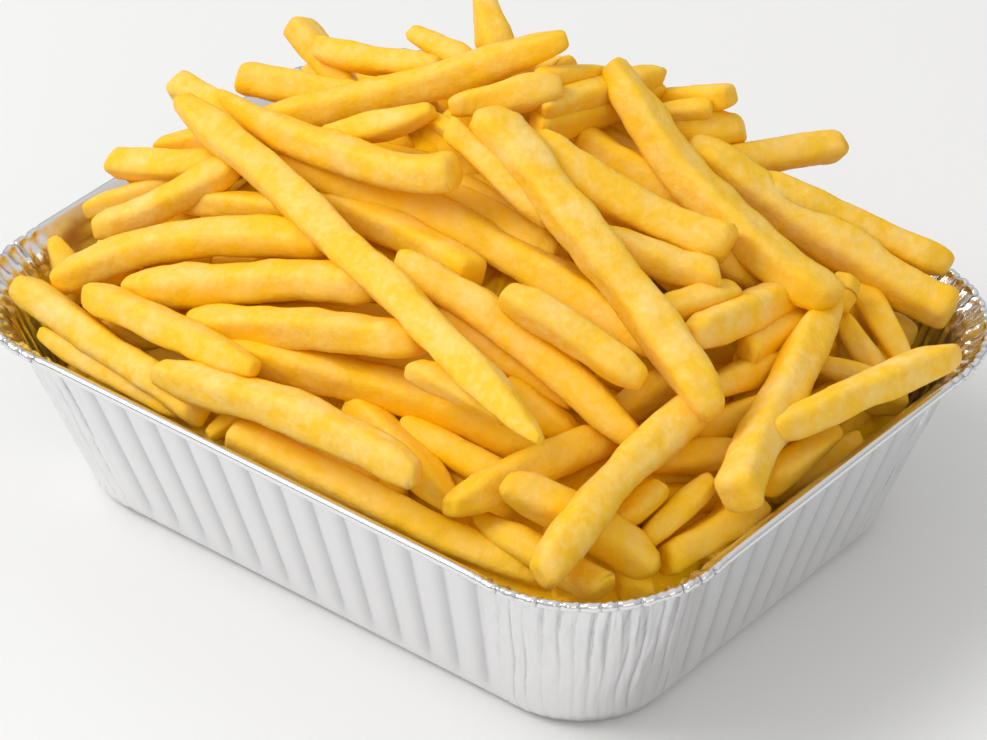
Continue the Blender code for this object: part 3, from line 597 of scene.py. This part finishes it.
# pressed relief: pitch, depth and painted shade of the flutes and corner pleats, and the bead on the rim
relief = {"flutePitch": 9.6, "fluteDepth": 1.25 * mm, "groove": 1.9, "shadeWidth": 1.5, "shade": 0.26, "bulge": 0.3,
          "pleatPitch": 4.2, "crumple": 1.35 * mm, "fine": 0.45, "fineHem": 0.1, "hemDrop": 1.2 * mm,
          "crimp": 0.3 * mm, "crimpPitch": 2.1, "runOut": 5.0, "innerFrom": 4.9 * mm, "beadWidth": 2.0 * mm,
          "beadClear": 0.3 * mm, "hemShade": 1.6, "wrinkleShade": 0.5, "wrinkleWidth": 0.2}
# section of the rolled flange: inset and height from the rim in mm, share of corner pleat
hemSection = [
    (6.2, -5.0, 1.0), (5.2, -3.9, 0.95), (4.2, -3.1, 0.9), (3.0, -2.65, 0.8), (1.9, -2.5, 0.7), (1.1, -2.45, 0.6),
    (0.5, -2.2, 0.6), (0.12, -1.7, 0.7), (0.03, -1.15, 0.7), (0.2, -0.6, 0.8), (0.55, -0.2, 0.8),
    (1.05, -0.02, 0.8), (1.5, -0.12, 0.8), (1.95, -0.45, 0.8), (2.6, -1.0, 0.85), (3.4, -1.65, 0.9),
    (4.3, -2.45, 0.95), (5.2, -3.35, 1.0), (6.1, -4.4, 1.0), (6.9, -5.5, 0.9),
]


def outlinePoint(column, inset, corner, push):
    # a place on the outline, inset from the rim's and pushed outward
    side, index, along = column
    halfX, halfY = tray["length"] / 2 - inset, tray["width"] / 2 - inset
    runX, runY = halfX - corner, halfY - corner
    if side == "straight":
        return ((halfX + push, runY * (2 * along - 1)), (runX * (1 - 2 * along), halfY + push),
                (-halfX - push, runY * (1 - 2 * along)), (runX * (2 * along - 1), -halfY - push))[index]
    turn = math.pi / 2 * (index + along)
    middle = ((runX, runY), (-runX, runY), (-runX, -runY), (runX, -runY))[index]
    return (middle[0] + (corner + push) * math.cos(turn), middle[1] + (corner + push) * math.sin(turn))


def trayColumns():
    columns = []
    for index in range(4):
        flutes = tray["flutesLong"] if index % 2 else tray["flutesShort"]
        steps = flutes * tray["stepsPerFlute"]
        columns += [("straight", index, k / steps) for k in range(steps)]
        columns += [("corner", index, k / tray["cornerSteps"]) for k in range(tray["cornerSteps"])]
    return columns


def trayProfile():
    # section out from the middle of the base, up, over the flange and down inside: inset, corner radius,
    # height, and the shares of flute, corner pleat and smoothness of the metal
    top, lean, flange, thick = tray["height"], trayLean, tray["flange"], tray["wall"]
    base, deep, rounding = tray["baseInset"], tray["baseCorner"], tray["baseRound"]
    fadeTop = top - tray["fluteTop"]

    def wallAt(z, inward):
        inset = flange + lean * (top - z) + inward
        return inset, deep + (tray["corner"] - flange - deep) * z / top - inward

    def flutesAt(z):
        low = min(max((z - 1 * mm) / (9 * mm), 0), 1)
        high = min(max((fadeTop - z) / (3 * mm), 0), 1)
        return low * low * (3 - 2 * low) * math.sqrt(high * (2 - high))

    def pleatsAt(z):
        return 0.25 + 0.75 * (z / top) ** 1.4

    rings = []
    for part in (0.45, 0.75, 0.92):
        inward = rounding + (1 - part) * 30 * mm
        rings.append((base + inward, max(2 * mm, deep - inward * 0.7), 0.0, 0, 0, 0))
    for k in range(8):
        turn = math.pi * 0.4 * k / 7
        pull = rounding * 0.86 * (1 - math.sin(turn) / math.sin(math.pi * 0.4))
        inset, corner = wallAt(rounding, 0)
        z = rounding * (1 - math.cos(turn)) / (1 - math.cos(math.pi * 0.4))
        rings.append((inset + pull, corner - pull, z, flutesAt(z) * k / 7, 0.25 * k / 7, 0))
    for k in range(1, tray["wallRings"] + 1):
        z = rounding + (top - 6.0 * mm - rounding) * k / tray["wallRings"]
        rings.append((*wallAt(z, 0), z, flutesAt(z), pleatsAt(z), 0))
    for inset, drop, pleat in hemSection:
        rings.append((inset * mm, tray["corner"] - inset * mm, top + drop * mm, 0, pleat, 1))
    for k in range(tray["insideRings"], 0, -1):
        z = rounding + (top - 6.8 * mm - rounding) * k / tray["insideRings"]
        rings.append((*wallAt(z, thick), z, flutesAt(z), 0.3 * pleatsAt(z), 0.5))
    rings.append((base + rounding * 0.6, deep - rounding * 0.6, 2.4 * mm, 0.1, 0.1, 1))
    rings.append((base + rounding, deep - rounding, thick, 0, 0, 1))
    rings.append((base + rounding + 22 * mm, max(2 * mm, deep - rounding - 14 * mm), thick, 0, 0, 1))
    return rings


def traySpots(columns):
    # for each column: length round the corner in mm, share of corner, and place in its flute
    # each corner counts its length from a number of its own, so no two pleat alike
    spots, apart = [], 400
    bend = math.pi / 2 * 30
    for side, index, along in columns:
        if side == "corner":
            spots.append((index * apart + along * bend, 1.0, None))
            continue
        flutes = tray["flutesLong"] if index % 2 else tray["flutesShort"]
        run = (tray["length"] if index % 2 else tray["width"]) / mm - 2 * tray["corner"] / mm
        # a straight side starts where the corner before it ends
        arc = (index - 1) * apart + bend + along * run if along < 0.5 else index * apart - (1 - along) * run
        reach = min(along, 1 - along) * run
        spots.append((arc, math.exp(-(reach / relief["runOut"]) ** 2), along * flutes))
    return spots


def pleatWave(arc, z):
    # folds pressed into the corners, a few millimetres apart, uneven and slanting, some fading out downward
    sway = 1.6 * noise.noise(Vector((arc / 14, z / 0.022, 2.0)))
    phase = (arc + sway) / relief["pleatPitch"] + 0.35 * noise.noise(Vector((arc / 6, 7.0, 0.0)))
    fold = 2 * abs(math.sin(math.pi * phase)) ** 0.6 - 1
    strength = 0.55 + 0.75 * noise.noise(Vector((arc / 7, z / 0.03, 5.0)))
    small = noise.noise(Vector((arc / 1.7, z / 0.012, 9.0)))
    small += 0.5 * noise.noise(Vector((arc / 0.9, z / 0.006, 4.0)))
    return fold * max(strength, 0.1), small


def makeTray(material):
    columns = trayColumns()
    spots = traySpots(columns)
    rings = trayProfile()
    points, corners, smooth, creaseShades = [], [], [], []
    for inset, corner, z, flute, pleat, shine in rings:
        inner = shine > 0 and inset > relief["innerFrom"]
        hem = shine and not inner
        fine = relief["fineHem"] if hem else relief["fine"]
        shade = relief["hemShade"] if hem else 1.0
        for column, (arc, share, phase) in zip(columns, spots):
            push, lift, creaseShade = 0.0, 0.0, 0.0
            if phase is not None and flute > 0:
                amount = flute * (1 - share)
                away = abs(phase - round(phase)) * relief["flutePitch"]
                # painted shade along each flute's groove
                creaseShade = relief["shade"] * amount * math.exp(-(away / relief["shadeWidth"]) ** 2)
                bulge = relief["bulge"] * (0.5 - 0.5 * math.cos(2 * math.pi * phase))
                push = relief["fluteDepth"] * amount * (bulge - math.exp(-(away / relief["groove"]) ** 2))
            if share > 0.01 and pleat > 0:
                fold, small = pleatWave(arc, z)
                amount = share * pleat
                push += relief["crumple"] * amount * (fold + fine * small)
                # painted shade in the folds and fine wrinkles of the corner pleats, stronger on the hem
                wrinkle = relief["wrinkleShade"] * max(relief["wrinkleWidth"] - abs(small), 0)
                creaseShade += amount * (shade * max(-fold, 0) + wrinkle)
                if hem:
                    crimp = 0.5 - 0.5 * math.cos(2 * math.pi * arc / relief["crimpPitch"])
                    lift = -(relief["hemDrop"] * (1 - fold) * 0.5 + relief["crimp"] * crimp) * amount
            if inset < relief["beadWidth"]:
                push = min(push - relief["beadClear"] * share, 0.0)
            x, y = outlinePoint(column, inset, corner, push)
            points.append((x, y, min(max(z + lift, 0.0), tray["height"])))
            corners.append(share)
            smooth.append(shine)
            creaseShades.append(0.0 if inner else min(creaseShade, 1.0))
    count = len(columns)
    faces = []
    for ring in range(len(rings) - 1):
        low, high = ring * count, (ring + 1) * count
        faces += [(low + k, low + (k + 1) % count, high + (k + 1) % count, high + k) for k in range(count)]
    points += [(0, 0, 0), (0, 0, tray["wall"])]
    corners += [0, 0]
    smooth += [0, 1]
    creaseShades += [0, 0]
    last = (len(rings) - 1) * count
    for k in range(count):
        after = (k + 1) % count
        faces.append((after, k, len(points) - 2))
        faces.append((last + k, last + after, len(points) - 1))
    piece = meshPiece("pressed_foil_tray", points, faces, material,
                      {"corner": corners, "shine": smooth, "creaseShade": creaseShades})
    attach(piece, "root")
    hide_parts("foil_tray")
    print("tray", sum(len(f) - 2 for f in faces), "triangles")


def mixColour(tree, factor, first, second):
    # first can be a colour or a socket that gives one
    node = addNode(tree, "ShaderNodeMix", data_type="RGBA")
    sockets = {s.identifier: s for s in node.inputs}
    tree.links.new(factor, sockets["Factor_Float"])
    sockets["B_Color"].default_value = second
    if isinstance(first, tuple):
        sockets["A_Color"].default_value = first
    else:
        tree.links.new(first, sockets["A_Color"])
    return next(s for s in node.outputs if s.identifier == "Result_Color")


def friedPotatoMaterial():
    # fried potato: a thin crust with a film of oil, which gives soft highlights over a glowing yellow inside
    material, tree, shader = newMaterial("fried potato, fried in oil")
    where = addNode(tree, "ShaderNodeNewGeometry").outputs["Position"]
    tone, tip, ridge, deep, crowdShade = (addNode(tree, "ShaderNodeAttribute", attribute_name=name).outputs["Fac"]
                                     for name in ("tone", "tip", "ridge", "deep", "crowdShade"))

    def share(value, amount):
        return addNode(tree, "ShaderNodeMath", {1: amount}, {0: value}, operation="MULTIPLY").outputs[0]

    # pale mottling about 8 mm across, speckle about 2 mm
    broad = addNode(tree, "ShaderNodeTexNoise", {"Scale": 1 / (8 * mm), "Detail": 3.0, "Roughness": 0.6},
                    {"Vector": where})
    fine = addNode(tree, "ShaderNodeTexNoise", {"Scale": 1 / (2 * mm), "Detail": 4.0, "Roughness": 0.65},
                   {"Vector": where})
    mottle = addNode(tree, "ShaderNodeMapRange", {"From Min": 0.40, "From Max": 0.68, "To Max": 0.62},
                     {"Value": broad.outputs["Fac"]})
    speckle = addNode(tree, "ShaderNodeMapRange", {"From Min": 0.48, "From Max": 0.78, "To Max": 0.26},
                      {"Value": fine.outputs["Fac"]})
    colour = mixColour(tree, mottle.outputs["Result"], hexColour("#FFC938"), hexColour("#FFE2A0"))
    colour = mixColour(tree, share(tone, 0.35), colour, hexColour("#FDC426"))
    colour = mixColour(tree, speckle.outputs["Result"], colour, hexColour("#FFEAA0"))
    colour = mixColour(tree, share(ridge, 0.34), colour, hexColour("#FCC424"))
    colour = mixColour(tree, share(tip, 0.45), colour, hexColour("#FABF14"))
    # painted shade: deeper gold the deeper a place lies in the heap, where less light reaches
    colour = mixColour(tree, share(deep, 0.75), colour, hexColour("#FFCC00"))
    # painted shade and bounced light: amber where fries close each other off, standing in for light that passes
    # through potato and bounces between them
    colour = mixColour(tree, share(crowdShade, 0.92), colour, hexColour("#FFC900"))
    tree.links.new(colour, shader.inputs["Base Color"])
    shader.inputs["Subsurface Weight"].default_value = 0.22
    shader.inputs["Subsurface Radius"].default_value = (1.0, 0.8, 0.4)
    shader.inputs["Subsurface Scale"].default_value = 2.5 * mm
    shader.inputs["Roughness"].default_value = 0.5
    shader.inputs["IOR"].default_value = 1.42
    shader.inputs["Specular IOR Level"].default_value = 0.2
    # crust relief: blisters about 3 mm across and a grain under 1 mm
    blister = addNode(tree, "ShaderNodeTexNoise", {"Scale": 1 / (3.2 * mm), "Detail": 3.0}, {"Vector": where})
    grain = addNode(tree, "ShaderNodeTexNoise", {"Scale": 1 / (0.8 * mm), "Detail": 2.0}, {"Vector": where})
    grainBump = addNode(tree, "ShaderNodeBump", {"Strength": 0.15, "Distance": 0.1 * mm},
                        {"Height": grain.outputs["Fac"]})
    bump = addNode(tree, "ShaderNodeBump", {"Strength": 0.6, "Distance": 0.8 * mm},
                   {"Height": blister.outputs["Fac"], "Normal": grainBump.outputs["Normal"]})
    tree.links.new(bump.outputs["Normal"], shader.inputs["Normal"])
    return material


def foilMaterial():
    # aluminium foil, rolled then pressed: satin outside, brighter over the hem and inside, finely creased corners
    material, tree, shader = newMaterial("aluminium foil, rolled and pressed")
    where = addNode(tree, "ShaderNodeNewGeometry").outputs["Position"]
    corner = addNode(tree, "ShaderNodeAttribute", attribute_name="corner").outputs["Fac"]
    shine = addNode(tree, "ShaderNodeAttribute", attribute_name="shine").outputs["Fac"]
    # painted shade: base colour darkened to grey in the folds and grooves, where less light gets in
    creaseShade = addNode(tree, "ShaderNodeAttribute", attribute_name="creaseShade").outputs["Fac"]
    metal = mixColour(tree, creaseShade, hexColour("#ECECED"), hexColour("#606064"))
    tree.links.new(metal, shader.inputs["Base Color"])
    shader.inputs["Metallic"].default_value = 1.0
    soft = addNode(tree, "ShaderNodeTexNoise", {"Scale": 1 / (12 * mm), "Detail": 2.0}, {"Vector": where})
    satin = addNode(tree, "ShaderNodeMapRange", {"To Min": 0.40, "To Max": 0.23}, {"Value": corner})
    rough = addNode(tree, "ShaderNodeMapRange", {"To Max": 0.24},
                    {"Value": shine, "To Min": satin.outputs["Result"]})
    tree.links.new(rough.outputs["Result"], shader.inputs["Roughness"])
    stretch = addNode(tree, "ShaderNodeMapping", {"Scale": (1.0, 1.0, 0.2)}, {"Vector": where})
    wrinkle = addNode(tree, "ShaderNodeTexNoise", {"Scale": 1 / (2.2 * mm), "Detail": 3.0, "Distortion": 0.8},
                      {"Vector": stretch.outputs["Vector"]})
    wrinkleHeight = addNode(tree, "ShaderNodeMath", links={0: wrinkle.outputs["Fac"], 1: corner},
                            operation="MULTIPLY")
    sheet = addNode(tree, "ShaderNodeBump", {"Strength": 0.3, "Distance": 0.5 * mm},
                    {"Height": soft.outputs["Fac"]})
    bump = addNode(tree, "ShaderNodeBump", {"Strength": 0.5, "Distance": 0.5 * mm},
                   {"Height": wrinkleHeight.outputs[0], "Normal": sheet.outputs["Normal"]})
    tree.links.new(bump.outputs["Normal"], shader.inputs["Normal"])
    return material


def floorMaterial():
    # painted board, matt: an even pale ground
    material, tree, shader = newMaterial("painted board, matt")
    shader.inputs["Base Color"].default_value = hexColour("#EFEFEF")
    shader.inputs["Roughness"].default_value = 0.75
    where = addNode(tree, "ShaderNodeNewGeometry").outputs["Position"]
    faint = addNode(tree, "ShaderNodeTexNoise", {"Scale": 1 / (40 * mm), "Detail": 2.0}, {"Vector": where})
    bump = addNode(tree, "ShaderNodeBump", {"Strength": 0.02, "Distance": 1 * mm}, {"Height": faint.outputs["Fac"]})
    tree.links.new(bump.outputs["Normal"], shader.inputs["Normal"])
    return material


studio = {"worldLow": "#B4B2AF", "worldHigh": "#F4F5F6", "worldStrength": 0.79,
          "key": {"place": (-0.90, -0.92, 1.45), "size": 1.05, "watts": 20.6, "colour": "#FFFEFC"},
          "fill": {"place": (1.3, -0.9, 0.9), "size": 1.0, "watts": 3.0, "colour": "#FFF1DE"}}


def setStudio():
    floor = meshPiece("floor", [(-8, -8, 0), (8, -8, 0), (8, 8, 0), (-8, 8, 0)], [(0, 1, 2, 3)], floorMaterial())
    world = bpy.data.worlds.new("studio")
    bpy.context.scene.world = world
    world.use_nodes = True
    tree = world.node_tree
    ground = tree.nodes["Background"]
    place = addNode(tree, "ShaderNodeTexCoord").outputs["Generated"]
    split = addNode(tree, "ShaderNodeSeparateXYZ", links={"Vector": place})
    rise = addNode(tree, "ShaderNodeMapRange", {"From Min": 0.0, "From Max": 0.8}, {"Value": split.outputs["Z"]})
    colour = mixColour(tree, rise.outputs["Result"], hexColour(studio["worldLow"]), hexColour(studio["worldHigh"]))
    tree.links.new(colour, ground.inputs["Color"])
    ground.inputs["Strength"].default_value = studio["worldStrength"]
    for name in ("key", "fill"):
        values = studio[name]
        data = bpy.data.lights.new(name, "AREA")
        data.size = values["size"]
        data.energy = values["watts"]
        data.color = hexColour(values["colour"])[:3]
        light = bpy.data.objects.new(name, data)
        bpy.context.scene.collection.objects.link(light)
        light.location = values["place"]
        light.rotation_euler = (Vector((0, 0, 0.05)) - light.location).to_track_quat("-Z", "Y").to_euler()
    bpy.context.scene.view_settings.view_transform = "Standard"
    bpy.context.scene.view_settings.look = "None"


setCamera()
print("camera set")
potato = friedPotatoMaterial()
placed = layFries()
print("fries laid", len(placed))
places = axisPlaces(placed)
cover = [one for one in enumerate(placed) if one[1][0].startswith("cover")]
gaps = [one for one in enumerate(placed) if one[1][0].startswith("gap")]
shown = [one for one in enumerate(placed) if not one[1][0].startswith(("cover", "gap"))]
makeFries("fries_that_show", shown, places, potato)
makeFries("fries_at_the_back", cover, places, potato)
makeFries("fries_in_the_gaps", gaps, places, potato)
makeCore(potato)
makeTray(foilMaterial())
setStudio()
print("studio set")
